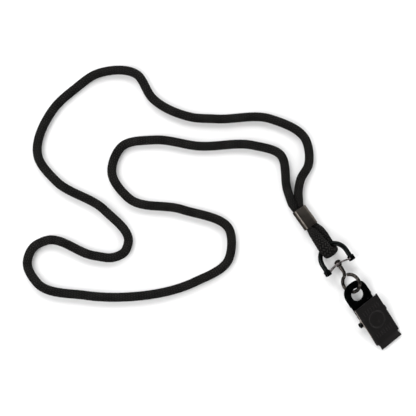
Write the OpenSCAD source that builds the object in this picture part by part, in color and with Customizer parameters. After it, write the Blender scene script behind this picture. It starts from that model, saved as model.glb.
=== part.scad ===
/* [Cord] */
// Diameter of the round braided cord
cord_d = 4.5; // [4:0.1:4.6]
// Width of each strand where the sleeve squeezes it
squeezed_w = 2.9; // [2.6:0.1:3]
// Height of each strand where the sleeve squeezes it
squeezed_h = 3.3; // [3:0.1:3.4]
// Width of the cord where it folds round the ring
fold_w = 4.8; // [4.4:0.1:5]
// Thickness of the cord where it folds round the ring
fold_h = 3.5; // [3.2:0.1:3.6]
// Width of the cord where it is pulled flat on the ring
turn_w = 6; // [5.6:0.1:6.2]
// Thickness of the cord where it is pulled flat on the ring
turn_h = 2.9; // [2.7:0.1:3]

/* [Crimp sleeve] */
// Length of the sleeve along the strands
crimp_len = 10.8; // [9:0.2:12]
// Width of the sleeve across both strands
crimp_w = 7.4; // [7.2:0.1:7.6]
// Height of the sleeve
crimp_h = 4.8; // [4.8:0.1:5]
// Thickness of the rolled strip
crimp_wall = 0.7; // [0.5:0.05:0.75]
// Outer radius of the sleeve's long edges
crimp_edge_r = 1.5; // [1:0.1:2]

/* [D-ring] */
// Width of the ring over its legs
ring_w = 17.2; // [16.8:0.1:17.6]
// Diameter of the ring's wire
ring_wire_d = 2.4; // [2.2:0.1:2.5]
// Length of the straight leg below the arch
ring_leg = 5.2; // [4:0.1:6]
// Thickness of the base strip that holds the swivel
base_t = 0.8; // [0.6:0.1:0.9]
// Height of the base strip
base_h = 3.6; // [3:0.1:4]
// Rise of the base strip's middle into the ring
base_rise = 1.3; // [1:0.1:1.6]
// Side of the square foot where the strip meets a leg
foot_side = 2.8; // [2.6:0.1:3]

/* [Swivel eye] */
// Radius of the eye's wire loop, to the wire's centre
eye_r = 4.7; // [4.5:0.1:4.8]
// Diameter of the eye's wire
eye_wire_d = 1.8; // [1.6:0.1:1.9]
// Diameter of the turned stem
stem_d = 2; // [1.9:0.05:2.05]
// Running clearance of the stem in its hole, on the radius
stem_gap = 0.06; // [0.03:0.01:0.1]
// Diameter of the riveted head inside the ring
stem_head_d = 3.5; // [3.2:0.1:3.8]
// Roll of the eye about its own stem
eye_roll = 50; // [48:1:54]

/* [Clip] */
// Thickness of the clip body's sheet
body_t = 0.8; // [0.7:0.05:0.85]
// Half width of the body between the lever's flanges
body_half = 6.4; // [6.2:0.05:6.45]
// Half width of the tab
tab_half = 6.75; // [6.6:0.05:6.8]
// Radius of the eye hole in the tab
tab_hole_r = 3.3; // [3.2:0.05:3.4]
// Slope of the tab above the table
tab_slope = 15.6; // [15:0.1:16]
// Thickness of the lever's sheet
lever_t = 0.7; // [0.6:0.05:0.75]
// Half width of the lever over its flanges
lever_half = 7.3; // [7.2:0.05:7.35]
// Height of the lever's handle edge above the table
handle_z = 8.1; // [7.9:0.1:8.3]
// Distance from the pivot to the jaw tips
jaw_len = 16.5; // [16:0.1:17]
// Half width of the jaw tips
jaw_half = 6.4; // [6:0.05:6.4]

/* [Pivot] */
// Height of the pivot pin's centre above the table
pivot_z = 2.85; // [2.8:0.05:2.9]
// Diameter of the pivot pin
pin_d = 2.2; // [2.1:0.05:2.2]
// Running clearance of the lever on the pin, on the radius
pin_gap = 0.06; // [0.03:0.01:0.1]
// Diameter of the spring's wire
spring_wire_d = 0.6; // [0.5:0.05:0.6]
// Number of whole turns of the spring between its two legs
spring_turns = 3; // [2:1:4]

/* [Hidden] */
$fn = 64;

// The chain of swivel and ring leans a little up and to the right of the clip.
chain_pitch = 2;
chain_yaw = 4;
eye_centre = [0.7, 19.8, 4.8];
base_at = 11.8;
arch_at = 22.6;

// The crimp lies flat on the table.
crimp_centre = [3.1, 60, crimp_h / 2];
crimp_yaw = 2;

// Neck loop: out of the sleeve's right side, round and back into its left.
rest_z = cord_d / 2;
neck_route = [
    [4.65, 60, 2.4], [5, 66, 2.3], [13.5, 76.5, rest_z], [21.5, 80, rest_z],
    [28.5, 91, rest_z], [20.5, 110, rest_z], [-2, 126.5, rest_z], [-12.5, 135.5, rest_z],
    [-22, 154, rest_z], [-21, 168.5, rest_z], [-37, 180.5, rest_z], [-51, 181, rest_z],
    [-65, 179.5, rest_z], [-87, 164, rest_z], [-87, 150, rest_z], [-76.5, 124, rest_z],
    [-77, 104, rest_z], [-81.5, 101.5, rest_z], [-87, 102.5, rest_z], [-94.5, 109, rest_z],
    [-109.5, 129.5, rest_z], [-116, 130.5, rest_z], [-123.5, 126, rest_z], [-125.5, 115.5, rest_z],
    [-110.5, 96.5, rest_z], [-94, 83, rest_z], [-62.5, 68.5, rest_z], [-41.5, 67, rest_z],
    [-32, 78, rest_z], [-45, 101, rest_z], [-63, 121.5, rest_z], [-62, 136.5, rest_z],
    [-50, 144, rest_z], [-34.5, 137, rest_z], [-18, 121, rest_z], [5, 104.5, rest_z],
    [13, 93, rest_z], [4.5, 76, rest_z], [1.6, 66, 2.3], [1.55, 60, 2.4]];

// Fold round the ring: down the left strand, over the arch, under it and back.
fold_route = [
    [1.55, 60, 2.4], [1.4, 54.5, 2.8], [1, 50.5, 5], [0, 46.5, 8], [-0.5, 42.4, 9.4],
    [0.1, 39.2, 8.5], [2.1, 37.8, 5.6], [3.7, 38.9, 2.8], [4.4, 43, 1.65], [5.1, 48, 2.1],
    [4.8, 54.5, 2.35], [4.65, 60, 2.4]];
// Stretch over which the cord goes from squeezed to full, and from full to flat on the ring.
spread = 4;
flat_from = 48;
flat_to = 43;

// Lever: a flat lip on the jaw, then one slope up to the handle.
lip_len = 3.1;
lip_gap = 0.1;
handle_y = 7.7;
lip_top = body_t + lip_gap + lever_t;
slope_y = lip_len - jaw_len;
lever_slope = atan2(handle_z - lip_top, handle_y - slope_y);
flange_depth = 1.5;
ear_r = 2.1;
body_ear_r = 1.8;
bend_y = 2;
tab_hole_y = 13.6;
tab_step_y = 9.8;

function unit(v) = v / norm(v);

// Direction of a smooth curve at one of its points, from the gaps on both sides.
function heading(p, i) =
    i == 0 ? unit(p[1] - p[0]) :
    i == len(p) - 1 ? unit(p[i] - p[i - 1]) :
    let (before = p[i] - p[i - 1], after = p[i + 1] - p[i], a = norm(before), b = norm(after))
    (before * b / a + after * a / b) / (a + b);

function between(p, i, t) =
    let (gap = norm(p[i + 1] - p[i]))
    p[i] * (2 * t * t * t - 3 * t * t + 1) + p[i + 1] * (3 * t * t - 2 * t * t * t)
    + heading(p, i) * gap * (t * t * t - 2 * t * t + t)
    + heading(p, i + 1) * gap * (t * t * t - t * t);

// Points along the curve, at least one at each of the route's own points and no further
// apart than the given gap.
function smooth(p, gap) = concat(
    [for (i = [0 : len(p) - 2])
        let (steps = max(1, ceil(norm(p[i + 1] - p[i]) / gap)))
        for (k = [0 : steps - 1]) between(p, i, k / steps)],
    [p[len(p) - 1]]);

// How far a point is out of the sleeve's squeeze: 0 inside, 1 from the spread's end.
function freed(c) =
    let (off = norm([c.x - crimp_centre.x, c.y - crimp_centre.y]))
    min(1, max(0, (off - crimp_len / 2) / spread));

// How far a point of the fold lies flat on the ring: 0 above the stretch, 1 below it.
function flat(c) = min(1, max(0, (flat_from - c.y) / (flat_from - flat_to)));

function strand_size(c, w, h) = [squeezed_w + (w - squeezed_w) * freed(c),
                                 squeezed_h + (h - squeezed_h) * freed(c)];

// One closed tube along a path: an oval of the given size at every point of it.
// The oval's width lies along the side direction, its height across it.
module tube(path, sizes, side_hint, sides) {
    last = len(path) - 1;
    rings = [for (i = [0 : last])
        let (ahead = unit(path[min(i + 1, last)] - path[max(i - 1, 0)]),
             side = side_hint == [0, 0, 1] ? unit(cross(ahead, side_hint))
                                           : unit(side_hint - ahead * (side_hint * ahead)),
             lift = cross(side, ahead))
        for (k = [0 : sides - 1])
            path[i] + side * cos(360 * k / sides) * sizes[i][0] / 2
                    + lift * sin(360 * k / sides) * sizes[i][1] / 2];
    skin = [for (i = [0 : last - 1]) for (k = [0 : sides - 1])
        let (a = i * sides + k, b = i * sides + (k + 1) % sides)
        [a, a + sides, b + sides, b]];
    start = [for (k = [0 : sides - 1]) k];
    end = [for (k = [sides - 1 : -1 : 0]) last * sides + k];
    polyhedron(points = rings, faces = concat([start], skin, [end]), convexity = 10);
}

module neck_cord() {
    path = smooth(neck_route, 3.3 * cord_d);
    color("#21201f") tube(path, [for (c = path) strand_size(c, cord_d, cord_d)], [0, 0, 1], 10);
}

module ring_loop() {
    path = smooth(fold_route, cord_d);
    color("#21201f") tube(path, [for (c = path) strand_size(c,
        fold_w + (turn_w - fold_w) * flat(c), fold_h + (turn_h - fold_h) * flat(c))],
        [1, 0, 0], 10);
}

module round_rect(w, h, r) {
    square([w, h - 2 * r], center = true);
    square([w - 2 * r, h], center = true);
    for (x = [-1, 1], y = [-1, 1])
        translate([x * (w / 2 - r), y * (h / 2 - r)]) circle(r = r);
}

module crimp_sleeve() {
    color("#3e3a36")
    translate(crimp_centre)
    rotate([90, 0, -crimp_yaw])
    linear_extrude(crimp_len, center = true)
    difference() {
        round_rect(crimp_w, crimp_h, crimp_edge_r);
        round_rect(crimp_w - 2 * crimp_wall, crimp_h - 2 * crimp_wall, crimp_edge_r - crimp_wall);
    }
}

// Places a child in the chain's own frame: the eye's centre is its origin, +Y runs to the ring.
module on_chain() {
    translate(eye_centre) rotate([0, 0, -chain_yaw]) rotate([chain_pitch, 0, 0]) children();
}

// Part of a wire ring in the XY plane, from one angle to the next.
module wire_arc(r, wire_d, from, to) {
    rotate([0, 0, from])
    rotate_extrude(angle = to - from)
    translate([r, 0]) circle(d = wire_d);
}

module along_y(from, to, d) {
    translate([0, from, 0]) rotate([-90, 0, 0]) cylinder(d = d, h = to - from);
}

module d_ring() {
    arch_r = (ring_w - ring_wire_d) / 2;
    leg_top = arch_at - arch_r;
    leg_foot = leg_top - ring_leg;
    half_chord = arch_r - foot_side / 2 + 0.4;
    strip_r = (half_chord * half_chord + base_rise * base_rise) / (2 * base_rise);
    strip_angle = asin(half_chord / strip_r);
    color("#0b0d0d") on_chain() difference() {
        union() {
            translate([0, leg_top, 0]) wire_arc(arch_r, ring_wire_d, 0, 180);
            for (side = [-1, 1]) translate([side * arch_r, 0, 0]) {
                along_y(leg_foot, leg_top, ring_wire_d);
                translate([-foot_side / 2, leg_foot - foot_side / 4, -base_h / 2])
                    cube([foot_side, foot_side, base_h]);
            }
            translate([0, base_at - strip_r, 0])
            rotate([0, 0, 90 - strip_angle])
            rotate_extrude(angle = 2 * strip_angle)
            translate([strip_r, 0]) square([base_t, base_h], center = true);
        }
        along_y(base_at - 2, base_at + 2, stem_d + 2 * stem_gap);
    }
}

module swivel_eye() {
    // The wire leaves the stem in a bend that meets the loop at this angle.
    join = 114;
    bend_r = eye_r * cos(180 - join) / (1 - cos(180 - join));
    stem_from = (eye_r + bend_r) * sin(join);
    loop_end = 430;
    tail = 1;
    // Small knuckles close the wire where one stretch meets the next.
    knuckle = 0.1;
    head_from = base_at + base_t / 2 + 0.1;
    collar_top = base_at - base_t / 2 - 0.2;
    color("#3a3634") on_chain() {
        rotate([0, -eye_roll, 0]) {
            wire_arc(eye_r, eye_wire_d, join, loop_end);
            rotate([0, 0, join]) translate([eye_r, 0, 0]) sphere(d = stem_d + knuckle);
            translate([-bend_r, stem_from, 0]) wire_arc(bend_r, stem_d - knuckle, join - 180, 0);
            rotate([0, 0, loop_end]) translate([eye_r, 0, 0]) {
                sphere(d = eye_wire_d + knuckle);
                along_y(0, tail, eye_wire_d);
            }
        }
        translate([0, stem_from, 0]) sphere(d = stem_d + knuckle);
        along_y(stem_from, head_from + 0.2, stem_d);
        along_y(collar_top - 0.6, collar_top, stem_d + 1);
        intersection() {
            along_y(head_from, head_from + 2, stem_head_d);
            translate([0, head_from - 0.7, 0]) sphere(d = stem_head_d + 0.7);
        }
    }
}

// Turns an outline drawn in (Y, Z) into a wall of the given thickness, centred on X = at.
module wall(at, t) {
    translate([at - t / 2, 0, 0]) rotate([90, 0, 90]) linear_extrude(t) children();
}

module along_x(from, to, d) {
    translate([from, 0, pivot_z]) rotate([0, 90, 0]) cylinder(d = d, h = to - from);
}

module clip_body() {
    stretch = 1 / cos(tab_slope);
    hole_at = (tab_hole_y - bend_y) * stretch;
    step_at = (tab_step_y - bend_y) * stretch;
    ear_in = body_half - body_t / 2;
    color("#0a0c0c") difference() {
        union() {
            linear_extrude(body_t) polygon([
                [-jaw_half, -jaw_len], [jaw_half, -jaw_len], [body_half - 0.4, -jaw_len + 2],
                [body_half, -jaw_len + 3], [body_half, bend_y + 0.1], [-body_half, bend_y + 0.1],
                [-body_half, -jaw_len + 3], [-body_half + 0.4, -jaw_len + 2]]);
            translate([0, bend_y, 0]) rotate([tab_slope, 0, 0]) linear_extrude(body_t) {
                translate([-body_half, 0]) square([2 * body_half, step_at]);
                translate([-tab_half, step_at]) square([2 * tab_half, hole_at - step_at]);
                translate([0, hole_at]) circle(r = tab_half);
            }
            for (side = [-1, 1]) wall(side * ear_in, body_t) {
                polygon([[-3.4, body_t / 2], [-body_ear_r, pivot_z],
                         [body_ear_r, pivot_z], [3, body_t / 2]]);
                translate([0, pivot_z]) circle(r = body_ear_r);
            }
        }
        along_x(-body_half - 1, body_half + 1, pin_d);
        translate([0, bend_y, 0]) rotate([tab_slope, 0, 0])
            translate([0, hole_at, -1]) cylinder(r = tab_hole_r, h = body_t + 2);
    }
}

// Heights of the lever's top face and of the middle of its sheet above a point on the table's Y.
function lever_top(y) = lip_top + (y - slope_y) * tan(lever_slope);
function lever_mid(y) = lever_top(y) - lever_t / 2;

module clip_lever() {
    run = (handle_y - slope_y) / cos(lever_slope);
    face_y = -2.5;
    ring_at = (face_y - slope_y) / cos(lever_slope);
    flange_at = lever_half - lever_t / 2;
    front = slope_y + 0.4;
    back = handle_y - 0.2;
    rib_w = 0.5;
    rib_pitch = 1.5;
    color("#201e1e") difference() {
        union() {
            translate([0, 0, lip_top - lever_t]) linear_extrude(lever_t) polygon([
                [-jaw_half, -jaw_len], [jaw_half, -jaw_len], [jaw_half - 0.4, slope_y - 0.4],
                [jaw_half, slope_y + 0.1], [-jaw_half, slope_y + 0.1],
                [-jaw_half + 0.4, slope_y - 0.4]]);
            translate([0, slope_y, lip_top]) rotate([lever_slope, 0, 0]) {
                translate([-lever_half, 0, -lever_t]) cube([2 * lever_half, run, lever_t]);
                // Pressed ring and grip ribs on the face.
                translate([0, ring_at, -0.05]) rotate_extrude()
                    translate([4.2, 0]) circle(r = 0.28);
                for (row = [ring_at - 7.2, ring_at + 6], k = [-3 : 3])
                    translate([k * rib_pitch - rib_w / 2, row - 1.2, -0.1])
                        cube([rib_w, 2.4, 0.28]);
            }
            for (side = [-1, 1]) wall(side * flange_at, lever_t) {
                polygon([
                    [front, lever_mid(front)], [front, 0.4],
                    [front + 3.6, lever_top(front + 3.6) - flange_depth],
                    [back, lever_top(back) - flange_depth], [back, lever_mid(back)]]);
                polygon([
                    [-ear_r, pivot_z], [-ear_r - 1.6, lever_top(-ear_r - 1.6) - flange_depth + 0.1],
                    [ear_r + 1.6, lever_top(ear_r + 1.6) - flange_depth + 0.1], [ear_r, pivot_z]]);
                translate([0, pivot_z]) circle(r = ear_r);
            }
        }
        along_x(-lever_half - 1, lever_half + 1, pin_d + 2 * pin_gap);
    }
}

module pivot_pin() {
    head_in = lever_half + 0.1;
    color("#0d0f0f") {
        along_x(-head_in - 0.5, head_in + 0.1, pin_d);
        along_x(-head_in - 1.6, -head_in - 0.4, 2.8);
        along_x(head_in, head_in + 0.6, 3.4);
    }
}

module torsion_spring() {
    coil_r = pin_d / 2 + spring_wire_d / 2 + 0.1;
    wire_pitch = spring_wire_d + 0.03;
    upper_lean = lever_slope;
    lower_lean = 10;
    leg = 6;
    turn_from = 90 + upper_lean;
    turn_to = 270 + lower_lean + 360 * spring_turns;
    length = wire_pitch * (turn_to - turn_from) / 360;
    function coil_at(a) = [
        -length / 2 + length * (a - turn_from) / (turn_to - turn_from),
        coil_r * cos(a), pivot_z + coil_r * sin(a)];
    upper = coil_at(turn_from) + leg * [0, cos(upper_lean), sin(upper_lean)];
    lower = coil_at(turn_to) + leg * [0, cos(lower_lean), sin(lower_lean)];
    steps = 42;
    path = concat([upper],
        [for (k = [0 : steps]) coil_at(turn_from + (turn_to - turn_from) * k / steps)], [lower]);
    color("#8c8880") tube(path, [for (c = path) [spring_wire_d, spring_wire_d]], [1, 0, 0], 6);
}

neck_cord();
ring_loop();
crimp_sleeve();
d_ring();
swivel_eye();
clip_body();
clip_lever();
pivot_pin();
torsion_spring();
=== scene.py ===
import math

import bmesh
import bpy
import numpy as np
from mathutils import Matrix, Vector


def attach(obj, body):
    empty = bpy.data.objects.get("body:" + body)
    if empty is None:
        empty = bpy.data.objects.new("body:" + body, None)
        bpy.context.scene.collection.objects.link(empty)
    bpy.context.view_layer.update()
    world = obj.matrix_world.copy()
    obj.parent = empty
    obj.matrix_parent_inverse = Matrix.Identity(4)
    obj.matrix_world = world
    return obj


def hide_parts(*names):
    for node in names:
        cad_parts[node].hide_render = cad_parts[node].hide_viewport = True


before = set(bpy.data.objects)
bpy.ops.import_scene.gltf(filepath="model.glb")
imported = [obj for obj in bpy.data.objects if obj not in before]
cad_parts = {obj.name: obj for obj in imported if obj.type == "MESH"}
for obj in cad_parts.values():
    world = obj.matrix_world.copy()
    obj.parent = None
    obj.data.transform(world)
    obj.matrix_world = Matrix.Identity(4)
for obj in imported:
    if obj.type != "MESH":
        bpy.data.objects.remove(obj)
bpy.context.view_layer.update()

# ---- Camera ----
# A long lens looks down on the work from a little to the clip's left, turned so that the clip's
# length runs down to the right. Distances here are in metres, everywhere else in millimetres.
aim = Vector((-0.0338, 0.0936, 0.0022))
view_from = Vector((-0.25, 0, 0.968)).normalized()
table_right = Vector((0.968, 0, 0.25)).normalized()
table_up = Vector((0, 1, 0))
clip_turn = math.radians(37.5)
view_width = 0.208

lens = bpy.data.cameras.new("camera")
lens.lens, lens.sensor_width = 200, 36
lens.clip_start, lens.clip_end = 0.05, 20
camera = bpy.data.objects.new("camera", lens)
bpy.context.scene.collection.objects.link(camera)
bpy.context.scene.camera = camera
view_right = math.cos(clip_turn) * table_right - math.sin(clip_turn) * table_up
view_up = math.sin(clip_turn) * table_right + math.cos(clip_turn) * table_up
camera.matrix_world = Matrix.Translation(
    aim + view_from * view_width * lens.lens / lens.sensor_width
) @ Matrix((view_right, view_up, view_from)).transposed().to_4x4()

# ---- Neck cord ----
# One loop of round cord, a tight two-over-two braid of black polyester yarn over a soft core.
# Both of its ends run into the crimp, and it lies loose on the table between them.
cord_width = 4.5
squeezed = 2.9, 3.3
crimp_centre = np.array([3.1, 60, 2.4])
crimp_length = 10.8
cord_route = np.array([
    (4.65, 60, 2.4), (5, 66, 2.3), (13.5, 76.5, 2.25), (21.5, 80, 2.25),
    (28.5, 91, 2.25), (20.5, 110, 2.25), (-2, 126.5, 2.25), (-12.5, 135.5, 2.25),
    (-22, 154, 2.25), (-21, 168.5, 2.25), (-37, 180.5, 2.25), (-51, 181, 2.25),
    (-65, 179.5, 2.25), (-87, 164, 2.25), (-87, 150, 2.25), (-76.5, 124, 2.25),
    (-77, 104, 2.25), (-81.5, 101.5, 2.25), (-87, 102.5, 2.25), (-94.5, 109, 2.25),
    (-109.5, 129.5, 2.25), (-116, 130.5, 2.25), (-123.5, 126, 2.25), (-125.5, 115.5, 2.25),
    (-110.5, 96.5, 2.25), (-94, 83, 2.25), (-62.5, 68.5, 2.25), (-41.5, 67, 2.25),
    (-32, 78, 2.25), (-45, 101, 2.25), (-63, 121.5, 2.25), (-62, 136.5, 2.25),
    (-50, 144, 2.25), (-34.5, 137, 2.25), (-18, 121, 2.25), (5, 104.5, 2.25),
    (13, 93, 2.25), (4.5, 76, 2.25), (1.6, 66, 2.3), (1.55, 60, 2.4)])
cord_carriers = 12
cord_pick = 1.35
cord_relief = 0.09
spread = 4


def unit(rows):
    return rows / np.linalg.norm(rows, axis=-1, keepdims=True)


def smooth_line(route, count):
    """The smooth curve through a route as count + 1 evenly spaced points, and its length."""
    gaps = np.linalg.norm(np.diff(route, axis=0), axis=1, keepdims=True)
    before, after = gaps[:-1], gaps[1:]
    middle = (np.diff(route, axis=0)[:-1] * after / before
              + np.diff(route, axis=0)[1:] * before / after) / (before + after)
    heading = np.vstack([unit(route[1] - route[0]), middle, unit(route[-1] - route[-2])])
    t = np.linspace(0, 1, 60, endpoint=False)[:, None]
    stretches = [
        start * (2 * t**3 - 3 * t**2 + 1) + end * (3 * t**2 - 2 * t**3)
        + leave * gap * (t**3 - 2 * t**2 + t) + reach * gap * (t**3 - t**2)
        for start, end, leave, reach, gap
        in zip(route, route[1:], heading, heading[1:], gaps)]
    dense = np.vstack([*stretches, route[-1:]])
    along = np.append(0, np.cumsum(np.linalg.norm(np.diff(dense, axis=0), axis=1)))
    even = np.linspace(0, along[-1], count + 1)
    return np.stack([np.interp(even, along, axis) for axis in dense.T], axis=1), along[-1]


def strand_size(line, width, height):
    """Width and height of a strand along its line: squeezed in the crimp, free past the spread."""
    out = np.linalg.norm((line - crimp_centre)[:, :2], axis=1) - crimp_length / 2
    freed = np.clip(out / spread, 0, 1)
    return (squeezed[0] + (width - squeezed[0]) * freed,
            squeezed[1] + (height - squeezed[1]) * freed)


def weave(x, y, floor, sine):
    """Height of a two-over-two braid, and which of its two sets of strands is on top.

    x counts strands round the cord and y counts picks along it."""
    a, b = x + y, x - y
    i, j = floor(a), floor(b)
    float_a = (b - i) - 4 * floor((b - i) / 4)
    float_b = (a - j) - 4 * floor((a - j) / 4)
    under = floor(float_a / 2)
    strand_a = sine((a - i) * math.pi) * (0.4 + 0.6 * sine(float_a * (math.pi / 2)))
    strand_b = sine((b - j) * math.pi) * (0.4 + 0.6 * sine((float_b - 1) * (math.pi / 2)))
    return strand_a * (1 - under) + strand_b * under, under


def braided_tube(line, length, size, side, around):
    """A closed tube along a line, with the braid's strands standing out of its surface."""
    rings = len(line) - 1
    ahead = unit(np.gradient(line, axis=0))
    side = unit(side - ahead * (side * ahead).sum(axis=1, keepdims=True))
    lift = np.cross(side, ahead)
    picks = round(length / cord_pick)
    bm = bmesh.new()
    braid = bm.loops.layers.uv.new("braid")
    bmesh.ops.create_grid(
        bm, x_segments=around, y_segments=rings, size=0.5, calc_uvs=True)
    flat = np.array([vert.co for vert in bm.verts]) + 0.5
    at = np.clip(np.rint(flat[:, 1] * rings).astype(int), 0, rings)
    turn = flat[:, 0:1]
    height, _ = weave(turn * cord_carriers, flat[:, 1:2] * picks, np.floor, np.sin)
    spoke = (side[at] * np.cos(2 * math.pi * turn) * size[0][at, None] / 2
             + lift[at] * np.sin(2 * math.pi * turn) * size[1][at, None] / 2)
    place = line[at] + spoke + unit(spoke) * (height - 0.6) * cord_relief
    for vert, co in zip(bm.verts, place):
        vert.co = co
    for face in bm.faces:
        for loop in face.loops:
            loop[braid].uv.x *= cord_carriers
            loop[braid].uv.y *= picks
    bmesh.ops.remove_doubles(bm, verts=bm.verts, dist=0.0005)
    bmesh.ops.holes_fill(bm, edges=[edge for edge in bm.edges if edge.is_boundary])
    bmesh.ops.recalc_face_normals(bm, faces=bm.faces)
    return bm


def make_piece(bm, name, body, finish, stands_for=(), crease=35):
    """Takes a bmesh in millimetres to a finished piece in metres that rides on its body."""
    bmesh.ops.scale(bm, vec=(0.001, 0.001, 0.001), verts=bm.verts)
    mesh = bpy.data.meshes.new(name)
    bm.to_mesh(mesh)
    bm.free()
    mesh.shade_smooth()
    mesh.set_sharp_from_angle(angle=math.radians(crease))
    mesh.materials.append(finish.material)
    piece = bpy.data.objects.new(name, mesh)
    bpy.context.scene.collection.objects.link(piece)
    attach(piece, body)
    if stands_for:
        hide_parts(*stands_for)
    return piece


class Shade:
    """A number that changes over a surface: one output of a finish's nodes."""

    def __init__(self, finish, socket):
        self.finish, self.socket = finish, socket

    def __add__(self, other):
        return self.finish.maths("ADD", self, other)

    def __sub__(self, other):
        return self.finish.maths("SUBTRACT", self, other)

    def __rsub__(self, other):
        return self.finish.maths("SUBTRACT", other, self)

    def __mul__(self, other):
        return self.finish.maths("MULTIPLY", self, other)

    def __truediv__(self, other):
        return self.finish.maths("DIVIDE", self, other)

    __radd__, __rmul__ = __add__, __mul__


class Finish:
    """One material, built up node by node."""

    def __init__(self, name):
        self.material = bpy.data.materials.new(name)
        self.material.use_nodes = True
        self.material.node_tree.nodes.clear()

    def node(self, kind, settings, sockets, out=0):
        """Any node: its settings first, then values or links for its sockets."""
        made = self.material.node_tree.nodes.new(kind)
        for key, value in settings.items():
            setattr(made, key, value)
        for key, value in sockets.items():
            if isinstance(value, Shade):
                self.material.node_tree.links.new(value.socket, made.inputs[key])
            else:
                made.inputs[key].default_value = value
        return Shade(self, made.outputs[out]) if made.outputs else None

    def maths(self, operation, *values):
        return self.node("ShaderNodeMath", {"operation": operation},
                         dict(enumerate(values)))

    def floor(self, value):
        return self.maths("FLOOR", value)

    def sine(self, value):
        return self.maths("SINE", value)

    def place(self):
        """Object coordinates in millimetres, as one vector and as X, Y and Z."""
        where = self.node("ShaderNodeTexCoord", {}, {}, out=3)
        grown = self.node("ShaderNodeVectorMath", {"operation": "SCALE"},
                          {0: where, "Scale": 1000.0})
        split = self.node("ShaderNodeSeparateXYZ", {}, {0: grown})
        parts = split.socket.node.outputs
        return grown, [Shade(self, part) for part in parts]

    def noise(self, where, scale, detail=3.0, stretch=(1, 1, 1), turn=(0, 0, 0)):
        """Cloudy variation from 0 to 1, scale times to the millimetre."""
        placed = self.node("ShaderNodeMapping", {},
                           {0: where, "Rotation": turn, "Scale": stretch})
        return self.node("ShaderNodeTexNoise", {},
                         {"Vector": placed, "Scale": scale, "Detail": detail})

    def step(self, value, start, end):
        """0 below start, 1 above end and smooth between them."""
        return self.node("ShaderNodeMapRange", {"interpolation_type": "SMOOTHSTEP"},
                         {0: value, 1: start, 2: end, 3: 0.0, 4: 1.0})

    def blend(self, amount, dark, light):
        """From one colour to the other."""
        return self.node("ShaderNodeMix", {"data_type": "RGBA"},
                         {0: amount, 6: dark, 7: light}, out=2)

    def bump(self, height, depth, strength=1.0):
        """Relief from a height of 0 to 1, so many millimetres deep."""
        return self.node("ShaderNodeBump", {}, {
            "Height": height, "Distance": depth / 1000, "Strength": strength})

    def surface(self, **sockets):
        """The shader itself and the material's output."""
        named = {key.replace("_", " "): value for key, value in sockets.items()}
        shader = self.node("ShaderNodeBsdfPrincipled", {}, named)
        self.node("ShaderNodeOutputMaterial", {}, {"Surface": shader})


yarn = Finish("black_braid")
uv = yarn.node("ShaderNodeUVMap", {"uv_map": "braid"}, {})
strands, picks_along = [
    Shade(yarn, part) for part
    in yarn.node("ShaderNodeSeparateXYZ", {}, {0: uv}).socket.node.outputs][:2]
height, under = weave(strands, picks_along, yarn.floor, yarn.sine)
fibre_a = yarn.sine((strands + picks_along) * (math.pi * 8))
fibre_b = yarn.sine((strands - picks_along) * (math.pi * 8))
fibres = fibre_a * (1 - under) + fibre_b * under
cord_place, _ = yarn.place()
cloud = yarn.noise(cord_place, 0.22, detail=4.0)
fuzz = yarn.noise(cord_place, 4.0, detail=2.0)
# The yarn's colour is darker where the weave and its fibre lines run low and lighter on their
# crests: painted shade in the crevices and grooves. The cloud and fuzz add random tone.
crevice_shade_and_tone = height * 0.8 + fibres * 0.06 + (cloud - 0.5) * 0.5 + (fuzz - 0.5) * 0.25
yarn.surface(
    Base_Color=yarn.blend(yarn.step(crevice_shade_and_tone, 0.2, 0.95), (0.0008, 0.0007, 0.0007, 1),
                          (0.025, 0.024, 0.0228, 1)),
    Roughness=0.85,
    Specular_IOR_Level=0.05,
    Normal=yarn.bump(height + fibres * 0.12 + fuzz * 0.25, 0.14, 0.8),
)

neck_line, neck_length = smooth_line(cord_route, 2240)
neck_side = np.cross(np.gradient(neck_line, axis=0), (0, 0, 1))
neck_cord = make_piece(
    braided_tube(neck_line, neck_length,
                 strand_size(neck_line, cord_width, cord_width), neck_side, 44),
    "neck_cord_braid", "cord", yarn, ["neck_cord"], crease=180)

# ---- Fold round the ring ----
# The same cord below the crimp: one strand runs over the D-ring's arch, round under it and back
# up beside the other, pressed a little flat and bunched where it turns.
fold_route = np.array([
    (1.55, 60, 2.4), (1.4, 54.5, 2.8), (1, 50.5, 5), (0, 46.5, 8), (-0.5, 42.4, 9.4),
    (0.1, 39.2, 8.5), (2.1, 37.8, 5.6), (3.7, 38.9, 2.8), (4.4, 43, 1.65), (5.1, 48, 2.1),
    (4.8, 54.5, 2.35), (4.65, 60, 2.4)])
fold_size, turn_size = (5.2, 3.5), (6.6, 2.9)
flat_from, flat_to = 50, 42
fold_line, fold_length = smooth_line(fold_route, 330)
flat_on = np.clip((flat_from - fold_line[:, 1]) / (flat_from - flat_to), 0, 1)
make_piece(
    braided_tube(fold_line, fold_length, strand_size(fold_line, *(
        full + (flat - full) * flat_on for full, flat in zip(fold_size, turn_size))),
        np.array([[1.0, 0, 0]]), 96),
    "ring_loop_braid", "cord", yarn, ["ring_loop"], crease=180)

# ---- Crimp sleeve ----
# A strip of gunmetal-plated steel rolled round both strands and pressed flat on top and bottom.
# Its left flank carries the fine teeth of the press, with a painted highlight line above them. The
# lean is how far the strip runs to the right for each millimetre up it.
crimp_width, crimp_height, crimp_wall = 7.4, 4.8, 0.7
crimp_edge = 1.5
crimp_yaw = math.radians(2)
crimp_lean = 0.035
mouth_edge = 0.18
tooth_pitch = 0.62


def edges_along(bm, axis):
    """Straight edges that run along an axis (0, 1 or 2)."""
    return [edge for edge in bm.edges
            if abs((edge.verts[1].co - edge.verts[0].co).normalized()[axis]) > 0.999]


def round_off(bm, edges, radius, segments=3):
    bmesh.ops.bevel(bm, geom=edges, offset=radius, offset_type="OFFSET", affect="EDGES",
                    segments=segments, profile=0.5, material=-1)


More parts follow.
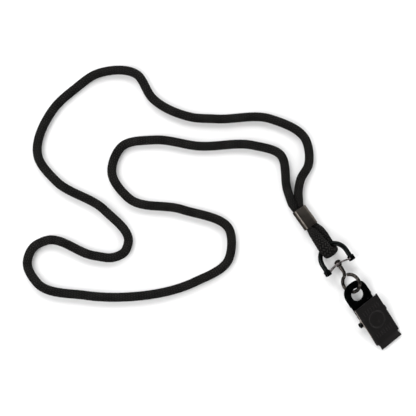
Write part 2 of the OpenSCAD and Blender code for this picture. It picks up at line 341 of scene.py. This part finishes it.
def block(bm, low, high):
    """A box between two corners; returns its vertices."""
    low, high = Vector(low), Vector(high)
    made = bmesh.ops.create_cube(bm, size=1)["verts"]
    bmesh.ops.scale(bm, vec=high - low, verts=made)
    bmesh.ops.translate(bm, vec=(low + high) / 2, verts=made)
    return made


bm = bmesh.new()
block(bm, (-crimp_width / 2, -crimp_length / 2, -crimp_height / 2),
      (crimp_width / 2, crimp_length / 2, crimp_height / 2))
round_off(bm, edges_along(bm, 1), crimp_edge, 8)
mouths = [face for face in bm.faces if abs(face.normal.y) > 0.9]
bmesh.ops.inset_region(bm, faces=mouths, thickness=crimp_wall, use_even_offset=True)
mouths = [face for face in bm.faces if abs(face.normal.y) > 0.9 and len(face.verts) > 4]
rims = [edge for face in mouths for edge in face.edges]
bmesh.ops.delete(bm, geom=mouths, context="FACES_ONLY")
bmesh.ops.bridge_loops(bm, edges=rims)
bmesh.ops.recalc_face_normals(bm, faces=bm.faces)
round_off(bm, [edge for edge in bm.edges
               if len(edge.link_faces) == 2 and edge.calc_face_angle(0) > 1.2
               and abs(abs(edge.verts[0].co.y) - crimp_length / 2) < 0.01], mouth_edge, 3)
bmesh.ops.rotate(bm, cent=(0, 0, 0), matrix=Matrix.Rotation(-crimp_yaw, 3, "Z"),
                 verts=bm.verts)
bmesh.ops.translate(bm, vec=crimp_centre, verts=bm.verts)

gunmetal = Finish("gunmetal_strip")
crimp_place, (crimp_x, crimp_y, _) = gunmetal.place()
crimp_x = crimp_x - crimp_lean * crimp_y - (3.1 - crimp_lean * 60)
flank = 1 - gunmetal.step(crimp_x, -3.2, -2.95)
teeth = gunmetal.sine(crimp_y * (2 * math.pi / tooth_pitch))
brushed = gunmetal.noise(crimp_place, 2.2, stretch=(5.0, 0.35, 1.0))
stain = gunmetal.noise(crimp_place, 0.45, detail=4.0)
# A pale painted highlight line runs along the top of the left flank; it is also made a little
# glossier there.
painted_highlight_line = gunmetal.step(crimp_x, -3.3, -3.0) * (1 - gunmetal.step(crimp_x, -2.75, -2.5))
# The press teeth also stripe the left flank's colour, darker in their grooves: painted shade.
gunmetal.surface(
    Base_Color=gunmetal.blend(
        (stain - 0.5) * 0.5 + (brushed - 0.5) * 0.3 + 0.4 + painted_highlight_line * 0.5 + teeth * flank * 0.2,
        (0.022, 0.019, 0.0165, 1), (0.115, 0.102, 0.090, 1)),
    Metallic=1.0,
    Specular_Tint=(0.3, 0.3, 0.3, 1),
    Roughness=0.42 - painted_highlight_line * 0.1 + (brushed - 0.5) * 0.15,
    Normal=gunmetal.bump(teeth * flank * 0.5 + brushed * 0.06, 0.1),
)
make_piece(bm, "crimp_strip", "cord", gunmetal, ["crimp_sleeve"], crease=30)

# ---- D-ring ----
# Cast zinc ring plated in glossy black nickel. Round legs run down from the arch to square
# feet, and a thin strip bowed up between the feet holds the swivel's stem in its pierced hole.
eye_centre = Vector((0.7, 19.8, 4.8))
chain = (Matrix.Translation(eye_centre) @ Matrix.Rotation(math.radians(-4), 4, "Z")
         @ Matrix.Rotation(math.radians(2), 4, "X"))
ring_width, ring_wire, ring_leg = 17.2, 2.4, 5.2
arch_at, base_at = 22.6, 11.8
base_thick, base_high, base_rise = 0.8, 3.6, 1.3
foot_side = 2.8
stem_hole = 1.06
foot_edge, strip_edge, strip_tuck = 0.4, 0.12, 0.4
boss_r, boss_deep, boss_taper = 1.62, 1.04, 0.97


def carry_on(bm, ring, step, grow=1.0):
    """Extrudes an open ring of edges by a step, swells it about its middle and returns it."""
    made = bmesh.ops.extrude_edge_only(bm, edges=ring)["geom"]
    verts = [part for part in made if isinstance(part, bmesh.types.BMVert)]
    bmesh.ops.translate(bm, vec=step, verts=verts)
    middle = sum((vert.co for vert in verts), Vector()) / len(verts)
    bmesh.ops.scale(bm, vec=(grow,) * 3, space=Matrix.Translation(-middle), verts=verts)
    ends = set(verts)
    return [part for part in made if isinstance(part, bmesh.types.BMEdge)
            and part.verts[0] in ends and part.verts[1] in ends]


def carry_round(bm, ring, centre, axis, degrees, steps, climb=(0, 0, 0)):
    """Spins an open ring of edges about an axis and returns the ring it ends as."""
    verts = list(dict.fromkeys(vert for edge in ring for vert in edge.verts))
    last = bmesh.ops.spin(bm, geom=verts + ring, cent=centre, axis=axis, dvec=climb,
                          angle=math.radians(degrees), steps=steps,
                          use_merge=False, use_duplicate=False)["geom_last"]
    return [part for part in last if isinstance(part, bmesh.types.BMEdge)]


def close_ends(bm):
    bmesh.ops.holes_fill(bm, edges=[edge for edge in bm.edges if edge.is_boundary])
    bmesh.ops.recalc_face_normals(bm, faces=bm.faces)


def wire_ring(bm, radius, segments, place):
    made = bmesh.ops.create_circle(bm, cap_ends=False, segments=segments, radius=radius,
                                   matrix=place)["verts"]
    return list(dict.fromkeys(edge for vert in made for edge in vert.link_edges))


def plate(outline, holes, thickness, long_cuts=0):
    """A flat sheet: outline points in XY, round holes (x, y, radius), its back on Z = 0."""
    bm = bmesh.new()
    corners = [bm.verts.new((x, y, 0)) for x, y in outline]
    sides = [bm.edges.new(pair) for pair in zip(corners, corners[1:] + corners[:1])]
    if long_cuts:
        bmesh.ops.subdivide_edges(
            bm, edges=[side for side in sides if side.calc_length() > 4], cuts=long_cuts)
    for x, y, radius in holes:
        bmesh.ops.create_circle(bm, cap_ends=False, segments=32, radius=radius,
                                matrix=Matrix.Translation((x, y, 0)))
    bmesh.ops.triangle_fill(bm, edges=bm.edges[:], use_beauty=True, normal=(0, 0, 1))
    raised = bmesh.ops.extrude_face_region(bm, geom=bm.faces[:])["geom"]
    bmesh.ops.translate(bm, vec=(0, 0, thickness),
                        verts=[part for part in raised if isinstance(part, bmesh.types.BMVert)])
    bmesh.ops.recalc_face_normals(bm, faces=bm.faces)
    return bm


def rims(bm, least=1.0):
    """The sharp edges of a closed sheet or block."""
    return [edge for edge in bm.edges
            if len(edge.link_faces) == 2 and edge.calc_face_angle(0) > least]


def join(bm, other, place=Matrix.Identity(4)):
    """Adds another bmesh to this one at a place."""
    loose = bpy.data.meshes.new("loose")
    other.to_mesh(loose)
    other.free()
    loose.transform(place)
    bm.from_mesh(loose)
    bpy.data.meshes.remove(loose)


arch_r = (ring_width - ring_wire) / 2
leg_top = arch_at - arch_r
leg_foot = leg_top - ring_leg
bm = bmesh.new()
ring = wire_ring(bm, ring_wire / 2, 24, Matrix.Translation((arch_r, leg_foot, 0))
                 @ Matrix.Rotation(math.pi / 2, 4, "X"))
ring = carry_on(bm, ring, (0, ring_leg, 0))
ring = carry_round(bm, ring, (0, leg_top, 0), (0, 0, 1), 180, 56)
carry_on(bm, ring, (0, -ring_leg, 0))
close_ends(bm)
for side in (-1, 1):
    foot = bmesh.new()
    block(foot, (side * arch_r - foot_side / 2, leg_foot - foot_side / 4, -base_high / 2),
          (side * arch_r + foot_side / 2, leg_foot + foot_side * 0.75, base_high / 2))
    round_off(foot, foot.edges[:], foot_edge, 3)
    join(bm, foot)
strip_half = arch_r - foot_side / 2 + strip_tuck
strip = plate([(-strip_half, -base_high / 2), (strip_half, -base_high / 2),
               (strip_half, base_high / 2), (-strip_half, base_high / 2)],
              [(0, 0, stem_hole)], base_thick, 20)
round_off(strip, rims(strip), strip_edge, 2)
for vert in strip.verts:
    bow = base_rise * (1 - (vert.co.x / strip_half) ** 2)
    vert.co = (vert.co.x, base_at - base_rise - base_thick / 2 + bow + vert.co.z, vert.co.y)
bmesh.ops.recalc_face_normals(strip, faces=strip.faces)
boss = bmesh.new()
collar_in = wire_ring(boss, stem_hole, 32, Matrix.Translation((0, base_at - boss_deep / 2, 0))
                      @ Matrix.Rotation(math.pi / 2, 4, "X"))
collar_out = carry_on(boss, collar_in, (0, 0, 0), boss_r / stem_hole)
collar_top = carry_on(boss, collar_out, (0, boss_deep, 0), boss_taper)
collar_end = carry_on(boss, collar_top, (0, 0, 0), stem_hole / (boss_r * boss_taper))
bmesh.ops.bridge_loops(boss, edges=collar_in + collar_end)
bmesh.ops.recalc_face_normals(boss, faces=boss.faces)
round_off(boss, rims(boss), 0.1, 2)
join(strip, boss)
for part in (bm, strip):
    bmesh.ops.transform(part, matrix=chain, verts=part.verts)


def black_nickel(name, dark, light, rough, edge):
    """Glossy black plating with a haze in it; edge is how bright it gets at grazing angles."""
    finish = Finish(name)
    where, _ = finish.place()
    haze = finish.noise(where, 0.7, detail=4.0)
    scuff = finish.noise(where, 6.0, detail=2.0)
    finish.surface(
        Base_Color=finish.blend(finish.step(haze, 0.3, 0.7), dark, light),
        Metallic=1.0,
        Roughness=rough + haze * 0.16,
        Specular_Tint=(edge, edge, edge, 1),
        Normal=finish.bump(scuff, 0.012, 0.5))
    return finish


plating = black_nickel("black_nickel", (0.004, 0.005, 0.005, 1), (0.013, 0.0145, 0.0145, 1),
                       0.24, 0.12)
bare_strip = black_nickel("worn_strip", (0.03, 0.028, 0.027, 1), (0.42, 0.37, 0.37, 1),
                          0.3, 0.6)
make_piece(bm, "d_ring_cast", "ring", plating, ["d_ring"])
make_piece(strip, "d_ring_strip", "ring", bare_strip)

# ---- Swivel eye ----
# Steel wire bent to an open eye under a turned stem. The stem runs through the ring's strip and
# is riveted over inside it; its black nickel has worn towards bare metal.
eye_r, eye_wire, stem_wide = 4.7, 1.8, 2.0
eye_join, eye_end, eye_tail = 114, 430, 1.0
eye_roll = math.radians(50)
bend_r = (eye_r * math.cos(math.radians(180 - eye_join))
          / (1 - math.cos(math.radians(180 - eye_join))))
stem_from = (eye_r + bend_r) * math.sin(math.radians(eye_join))
head_from = base_at + base_thick / 2 + 0.16
head_wide, head_dome, head_sunk = 3.5, 2.1, 0.7
neck_long = 1.2
flange_r, flange_thick, flange_gap = 1.5, 0.6, 0.26

bm = bmesh.new()
ring = wire_ring(bm, stem_wide / 2, 24, Matrix.Translation((0, head_from + 0.2, 0))
                 @ Matrix.Rotation(math.pi / 2, 4, "X"))
ring = carry_on(bm, ring, (0, stem_from + neck_long - head_from - 0.2, 0))
ring = carry_on(bm, ring, (0, -neck_long, 0), eye_wire / stem_wide)
ring = carry_round(bm, ring, (-bend_r, stem_from, 0), (0, 0, 1), eye_join - 180, 12)
ring = carry_round(bm, ring, (0, 0, 0), (0, 0, 1), eye_end - eye_join, 60)
tail_way = Vector((-math.sin(math.radians(eye_end)), math.cos(math.radians(eye_end)), 0))
ring = carry_on(bm, ring, tail_way * (eye_tail - 0.4))
ring = carry_on(bm, ring, tail_way * 0.28, 0.86)
carry_on(bm, ring, tail_way * 0.12, 0.6)
close_ends(bm)
bmesh.ops.rotate(bm, cent=(0, 0, 0), matrix=Matrix.Rotation(-eye_roll, 3, "Y"), verts=bm.verts)
flange = bmesh.new()
ring = wire_ring(flange, flange_r, 32, Matrix.Translation(
    (0, base_at - base_thick / 2 - flange_thick - flange_gap, 0))
                 @ Matrix.Rotation(math.pi / 2, 4, "X"))
carry_on(flange, ring, (0, flange_thick, 0))
close_ends(flange)
round_off(flange, rims(flange), 0.15, 3)
join(bm, flange)
rivet = bmesh.new()
bmesh.ops.create_uvsphere(rivet, u_segments=32, v_segments=24, radius=head_dome,
                          matrix=Matrix.Rotation(math.pi / 2, 4, "X"))
bmesh.ops.bisect_plane(rivet, geom=rivet.verts[:] + rivet.edges[:] + rivet.faces[:],
                       plane_co=(0, head_sunk, 0), plane_no=(0, -1, 0), clear_outer=True)
for vert in rivet.verts:
    reach = math.hypot(vert.co.x, vert.co.z)
    if reach > head_wide / 2:
        vert.co.x, vert.co.z = (part * head_wide / 2 / reach for part in (vert.co.x, vert.co.z))
close_ends(rivet)
join(bm, rivet, Matrix.Translation((0, head_from - head_sunk, 0)))
bmesh.ops.transform(bm, matrix=chain, verts=bm.verts)

worn_wire = Finish("worn_nickel_wire")
wire_place, _ = worn_wire.place()
wear = worn_wire.noise(wire_place, 0.8, detail=5.0)
drawn = worn_wire.noise(wire_place, 5.0, stretch=(1, 0.3, 1))
worn_wire.surface(
    Base_Color=worn_wire.blend(
        worn_wire.step(wear + (drawn - 0.5) * 0.2, 0.42, 0.68), (0.014, 0.013, 0.012, 1),
        (0.085, 0.075, 0.068, 1)),
    Metallic=1.0,
    Roughness=0.24 + wear * 0.14,
    Specular_Tint=(0.4, 0.4, 0.4, 1),
    Normal=worn_wire.bump(drawn, 0.01, 0.5),
)
make_piece(bm, "swivel_wire", "swivel", worn_wire, ["swivel_eye"])

# ---- Clip body ----
# Sheet steel blanked in one piece, glossy black. The jaw lies flat, the tab is bent up at the
# pivot with a round hole for the eye, and two ears folded up at its sides hold the pin. A small
# pressed pip on the tab stops the lever.
sheet = 0.8
jaw_half, jaw_len = 6.4, 16.5
body_half, tab_half, tab_hole = 6.4, 6.75, 3.3
tab_slope = math.radians(15.6)
bend_y, fold_over = 2.0, 0.8
tab_hole_y, tab_step_y = 13.6, 9.8
hole_y = bend_y + (tab_hole_y - bend_y) / math.cos(tab_slope)
step_y = bend_y + (tab_step_y - bend_y) / math.cos(tab_slope)
pivot_z, pin_r = 2.85, 1.1
ear_r, ear_front, ear_back, ear_foot = 1.8, 3.0, -3.4, 0.4
body_edge, ear_edge, fold_cuts = 0.14, 0.1, 4
on_edge = Matrix(((0, 0, 1, 0), (1, 0, 0, 0), (0, 1, 0, 0), (0, 0, 0, 1)))

half_outline = [(jaw_half, -jaw_len), (body_half - 0.4, 2 - jaw_len), (body_half, 3 - jaw_len),
                (body_half, step_y), (tab_half, step_y + 0.3)]
crown_square = 0.82
stop_at, stop_r = (3.5, 8.4, 2.5), 0.45
crown = [(math.copysign(tab_half * abs(math.cos(math.pi * k / 36)) ** crown_square, 18 - k),
          hole_y + tab_half * math.sin(math.pi * k / 36) ** crown_square) for k in range(37)]
bm = plate(half_outline + crown + [(-x, y) for x, y in reversed(half_outline)],
           [(0, hole_y, tab_hole)], sheet)
round_off(bm, rims(bm), body_edge, 2)
for cut in range(-fold_cuts, fold_cuts + 1):
    bmesh.ops.bisect_plane(bm, geom=bm.verts[:] + bm.edges[:] + bm.faces[:],
                           plane_co=(0, bend_y + cut * fold_over / fold_cuts, 0),
                           plane_no=(0, 1, 0))
bend_radius = 2 * fold_over / tab_slope
for vert in bm.verts:
    past = vert.co.y - (bend_y - fold_over)
    if past > 0:
        lean = tab_slope * min(past / (2 * fold_over), 1)
        on = max(past - 2 * fold_over, 0)
        vert.co.y = (bend_y - fold_over + bend_radius * math.sin(lean) + on * math.cos(lean)
                     - vert.co.z * math.sin(lean))
        vert.co.z = (bend_radius * (1 - math.cos(lean)) + on * math.sin(lean)
                     + vert.co.z * math.cos(lean))
ear_outline = [(ear_front, ear_foot)] + [
    (ear_r * math.cos(turn), pivot_z + ear_r * math.sin(turn))
    for turn in (math.radians(6 * k) for k in range(31))] + [(ear_back, ear_foot)]
for side in (-1, 1):
    ear = plate(ear_outline, [(0, pivot_z, pin_r)], sheet)
    round_off(ear, rims(ear), ear_edge, 2)
    join(bm, ear, Matrix.Translation((side * (body_half - sheet / 2) - sheet / 2, 0, 0))
         @ on_edge)
stop = bmesh.new()
bmesh.ops.create_uvsphere(stop, u_segments=16, v_segments=8, radius=stop_r)
join(bm, stop, Matrix.Translation(stop_at))
make_piece(bm, "clip_body_sheet", "clip", plating, ["clip_body"])

# ---- Pivot pin ----
# Steel pin riveted through the ears, with one small and one wide head outside the lever.
lever_half = 7.3


def turned(stations, segments=32):
    """A solid of revolution along X through (x, radius) stations."""
    bm = bmesh.new()
    ring = wire_ring(bm, stations[0][1], segments, Matrix.Translation((stations[0][0], 0, 0))
                     @ Matrix.Rotation(math.pi / 2, 4, "Y"))
    for (x, radius), (next_x, next_radius) in zip(stations, stations[1:]):
        ring = carry_on(bm, ring, (next_x - x, 0, 0), next_radius / radius)
    close_ends(bm)
    return bm


head_at = lever_half + 0.1
left_head = [(-1.6, 0.8), (-1.54, 1.15), (-1.4, 1.36), (-1.2, 1.4), (-0.4, 1.4), (-0.4, pin_r)]
right_head = [(0, pin_r), (0, 1.7), (0.3, 1.7), (0.5, 1.45), (0.6, 0.9)]
bm = turned([(x - head_at, r) for x, r in left_head] + [(x + head_at, r) for x, r in right_head])
bmesh.ops.translate(bm, vec=(0, 0, pivot_z), verts=bm.verts)
make_piece(bm, "pivot_rivet", "clip", plating, ["pivot_pin"])

# ---- Torsion spring ----
# Bright spring wire wound three turns round the pin, one leg up under the lever and one down.
# The upper leg is a piece of its own that moves with the lever; its first bit of winding lies
# inside the coil's and is drawn out of it as the jaws open.
spring_wire, spring_pitch, spring_leg = 0.6, 0.63, 6.0
spring_r = pin_r + spring_wire / 2 + 0.1
lip_top, slope_y, handle_y, handle_z = 1.6, -13.4, 7.7, 8.1
lever_slope = math.atan2(handle_z - lip_top, handle_y - slope_y)
wind_from = 90 + math.degrees(lever_slope)
wind_to = 280 + 360 * 3
wind_long = spring_pitch * (wind_to - wind_from) / 360
wind_steps = 150
arm_wire, arm_wind, arm_steps = 0.98, 30, 6

bm = bmesh.new()
lean = Matrix.Rotation(math.radians(wind_from), 3, "X")
start = lean @ Vector((0, spring_r, 0)) + Vector((-wind_long / 2, 0, pivot_z))
ahead = lean @ Vector((0, 0, 1))
ring = wire_ring(bm, spring_wire / 2, 12, Matrix.Translation(start) @ lean.to_4x4())
ring = carry_round(bm, ring, (-wind_long / 2, 0, pivot_z), (1, 0, 0), wind_to - wind_from,
                   wind_steps, (wind_long / wind_steps, 0, 0))
carry_on(bm, ring, Matrix.Rotation(math.radians(wind_to), 3, "X") @ Vector((0, 0, spring_leg)))
close_ends(bm)
spring_steel = Finish("spring_steel")
spring_place, _ = spring_steel.place()
streak = spring_steel.noise(spring_place, 3.0, detail=3.0)
spring_steel.surface(
    Base_Color=spring_steel.blend(streak, (0.16, 0.155, 0.14, 1), (0.38, 0.37, 0.34, 1)),
    Metallic=1.0, Roughness=0.3 + streak * 0.1)
make_piece(bm, "spring_winding", "clip", spring_steel, ["torsion_spring"])

arm = bmesh.new()
ring = wire_ring(arm, spring_wire / 2 * arm_wire, 12,
                 Matrix.Translation(start - ahead * spring_leg) @ lean.to_4x4())
ring = carry_on(arm, ring, ahead * spring_leg)
carry_round(arm, ring, (-wind_long / 2, 0, pivot_z), (1, 0, 0), arm_wind, arm_steps,
            (spring_pitch * arm_wind / 360 / arm_steps, 0, 0))
close_ends(arm)
make_piece(arm, "spring_arm", "lever", spring_steel)

# ---- Clip lever ----
# Sheet steel folded down at both sides, satin black. The face is pressed with a plain ring, a
# dimple and two rows of grip ribs, and the front lies flat as the upper jaw's lip.
lever_sheet = 0.7
flange_deep, fold_r = 1.5, 0.8
lever_ear_r, pin_gap = 2.1, 0.06
lever_run = (handle_y - slope_y) / math.cos(lever_slope)
face_y = -2.5
ring_at = (face_y - slope_y) / math.cos(lever_slope)
press_r, press_half, press_high = 4.2, 0.42, 0.26
pip_across, pip_back, pip_r, pip_high = 0.2, 1.4, 0.45, 1.2
rib_pitch, rib_half, rib_long, rib_count = 1.5, 0.34, 1.3, 7
rib_rows = ring_at - 7.2, ring_at + 6.2

face_half = lever_half - fold_r
corner = fold_r * math.pi / 2
across_half = face_half + corner + flange_deep - fold_r
bm = bmesh.new()
bmesh.ops.create_grid(bm, x_segments=150, y_segments=150, size=0.5)
for vert in bm.verts:
    across, along = vert.co.x * 2 * across_half, (vert.co.y + 0.5) * lever_run
    side, past = math.copysign(1, across), abs(across) - face_half
    ring_off = abs(math.hypot(across, along - ring_at) - press_r)
    pip_off = math.hypot(across - pip_across, along - ring_at + pip_back)
    relief = max(0, 1 - ring_off / press_half, pip_high - pip_off / pip_r)
    for row in rib_rows:
        if abs(across) < rib_count * rib_pitch / 2 + 0.01:
            off = abs((across / rib_pitch + 0.5) % 1 - 0.5) * rib_pitch
            end = max(0, abs(along - row) - rib_long + rib_half)
            relief = max(relief, 1 - math.hypot(off, end) / rib_half)
    rise = press_high * math.sin(min(relief, 1) * math.pi / 2) if relief > 0 else 0
    if past <= 0:
        vert.co = (across, along, rise)
    elif past <= corner:
        vert.co = (side * (face_half + fold_r * math.sin(past / fold_r)), along,
                   fold_r * (math.cos(past / fold_r) - 1))
    else:
        vert.co = (side * lever_half, along, -fold_r - (past - corner))
bm.normal_update()
outward = bm.verts.layers.float_vector.new("outward")
for vert in bm.verts:
    vert[outward] = vert.normal
for part in bmesh.ops.extrude_face_region(bm, geom=bm.faces[:])["geom"]:
    if isinstance(part, bmesh.types.BMVert):
        part.co -= part[outward] * lever_sheet
bm.verts.layers.float_vector.remove(outward)
bmesh.ops.recalc_face_normals(bm, faces=bm.faces)
tilt = Matrix.Translation((0, slope_y, lip_top)) @ Matrix.Rotation(lever_slope, 4, "X")
bmesh.ops.transform(bm, matrix=tilt, verts=bm.verts)
lip = plate([(-jaw_half, -jaw_len), (jaw_half, -jaw_len), (jaw_half - 0.35, slope_y - 0.5),
             (jaw_half, slope_y + 0.1), (jaw_half, slope_y + 0.4), (-jaw_half, slope_y + 0.4),
             (-jaw_half, slope_y + 0.1), (0.35 - jaw_half, slope_y - 0.5)], [], lever_sheet)
round_off(lip, rims(lip), 0.12, 2)
join(bm, lip, Matrix.Translation((0, 0, lip_top - lever_sheet)))
brow_y, brow_z = 3.6, 1.25
ear_proud = 0.01
lever_ear = [(lever_ear_r * math.cos(turn), pivot_z + lever_ear_r * math.sin(turn))
             for turn in (math.radians(180 + 6 * k) for k in range(31))] + [
    (brow_y, lip_top + (brow_y - slope_y) * math.tan(lever_slope) - brow_z),
    (-brow_y, lip_top + (-brow_y - slope_y) * math.tan(lever_slope) - brow_z)]
for side in (-1, 1):
    ear = plate(lever_ear, [(0, pivot_z, pin_r + pin_gap)], lever_sheet)
    round_off(ear, rims(ear), ear_edge, 2)
    join(bm, ear, Matrix.Translation(
        (side * (lever_half - lever_sheet / 2 + ear_proud) - lever_sheet / 2, 0, 0))
         @ on_edge)

satin = Finish("satin_black")
lever_place, (lever_x, lever_y, lever_z) = satin.place()
grain = satin.noise(lever_place, 2.6, detail=5.0)
smear = satin.noise(lever_place, 0.28, detail=3.0, stretch=(1, 0.5, 1), turn=(0, 0, 0.4))
# The left flange's outer face and ear are coloured pale brown from about y = -9 back to the
# handle.
pale_left_flange = (1 - satin.step(lever_x, -7.31, -7.27)) * satin.step(lever_y, -11.0, -7.0)
# Raised relief (the ring, the pip and the ribs) is painted lighter: a painted highlight on the
# embossing. It is also made a little glossier.
proud = satin.step(lever_z - (lever_y - slope_y) * math.tan(lever_slope) - lip_top, 0.1, 0.26)
satin.surface(
    Base_Color=satin.blend(
        pale_left_flange * (0.35 + smear * 0.5),
        satin.blend((grain - 0.5) * 0.3 + (smear - 0.5) * 0.4 + 0.35 + proud * 0.5,
                    (0.0030, 0.0026, 0.0026, 1), (0.0100, 0.0088, 0.0087, 1)),
        (0.42, 0.37, 0.33, 1)),
    Roughness=0.55 - proud * 0.12 + (smear - 0.5) * 0.15,
    Specular_IOR_Level=0.13,
    Normal=satin.bump(grain, 0.02, 0.5),
)
make_piece(bm, "clip_lever_sheet", "lever", satin, ["clip_lever"])

# ---- Table and light ----
# A pale table inside a low pale wall far all round, four soft boxes beyond its edges, and
# nothing overhead, so that the black metal stays black.
paper = Finish("pale_paper")
paper.surface(Base_Color=(0.86, 0.86, 0.86, 1), Roughness=0.9, Specular_IOR_Level=0.1)
bm = bmesh.new()
bmesh.ops.create_circle(bm, cap_ends=True, segments=96, radius=3000)
floor_mesh = bpy.data.meshes.new("table")
bmesh.ops.scale(bm, vec=(0.001, 0.001, 0.001), verts=bm.verts)
bm.to_mesh(floor_mesh)
bm.free()
floor_mesh.materials.append(paper.material)
table_top = bpy.data.objects.new("table", floor_mesh)
bpy.context.scene.collection.objects.link(table_top)

wall_paper = Finish("pale_wall")
wall_paper.surface(Base_Color=(0.8, 0.8, 0.8, 1), Roughness=1.0, Specular_IOR_Level=0.0,
                   Emission_Color=(1, 1, 1, 1), Emission_Strength=0.35)
bm = bmesh.new()
bmesh.ops.create_circle(bm, cap_ends=False, segments=96, radius=3.0)
rim = bmesh.ops.extrude_edge_only(bm, edges=bm.edges)["geom"]
bmesh.ops.translate(bm, vec=(0, 0, 1.3),
                    verts=[part for part in rim if isinstance(part, bmesh.types.BMVert)])
wall_mesh = bpy.data.meshes.new("wall")
bm.to_mesh(wall_mesh)
bm.free()
wall_mesh.materials.append(wall_paper.material)
wall = bpy.data.objects.new("wall", wall_mesh)
bpy.context.scene.collection.objects.link(wall)

for name, toward, distance, side, watts in (
        ("left", (-0.85, 0.15, 0.75), 1.3, 0.9, 16),
        ("head", (0.15, 0.95, 0.75), 1.3, 0.9, 14),
        ("right", (0.9, 0.1, 0.6), 1.4, 0.9, 12),
        ("foot", (-0.35, -0.95, 0.45), 1.4, 0.7, 7)):
    light = bpy.data.lights.new(name, "AREA")
    light.shape, light.size, light.energy = "SQUARE", side, watts
    lamp = bpy.data.objects.new(name, light)
    bpy.context.scene.collection.objects.link(lamp)
    lamp.location = aim + Vector(toward).normalized() * distance
    lamp.rotation_mode = "QUATERNION"
    lamp.rotation_quaternion = Vector(toward).to_track_quat("Z", "Y")

sky = bpy.data.worlds.new("dark_studio")
bpy.context.scene.world = sky
sky.use_nodes = True
sky.node_tree.nodes["Background"].inputs["Color"].default_value = (0.03, 0.03, 0.03, 1)
bpy.context.scene.view_settings.view_transform = "Standard"
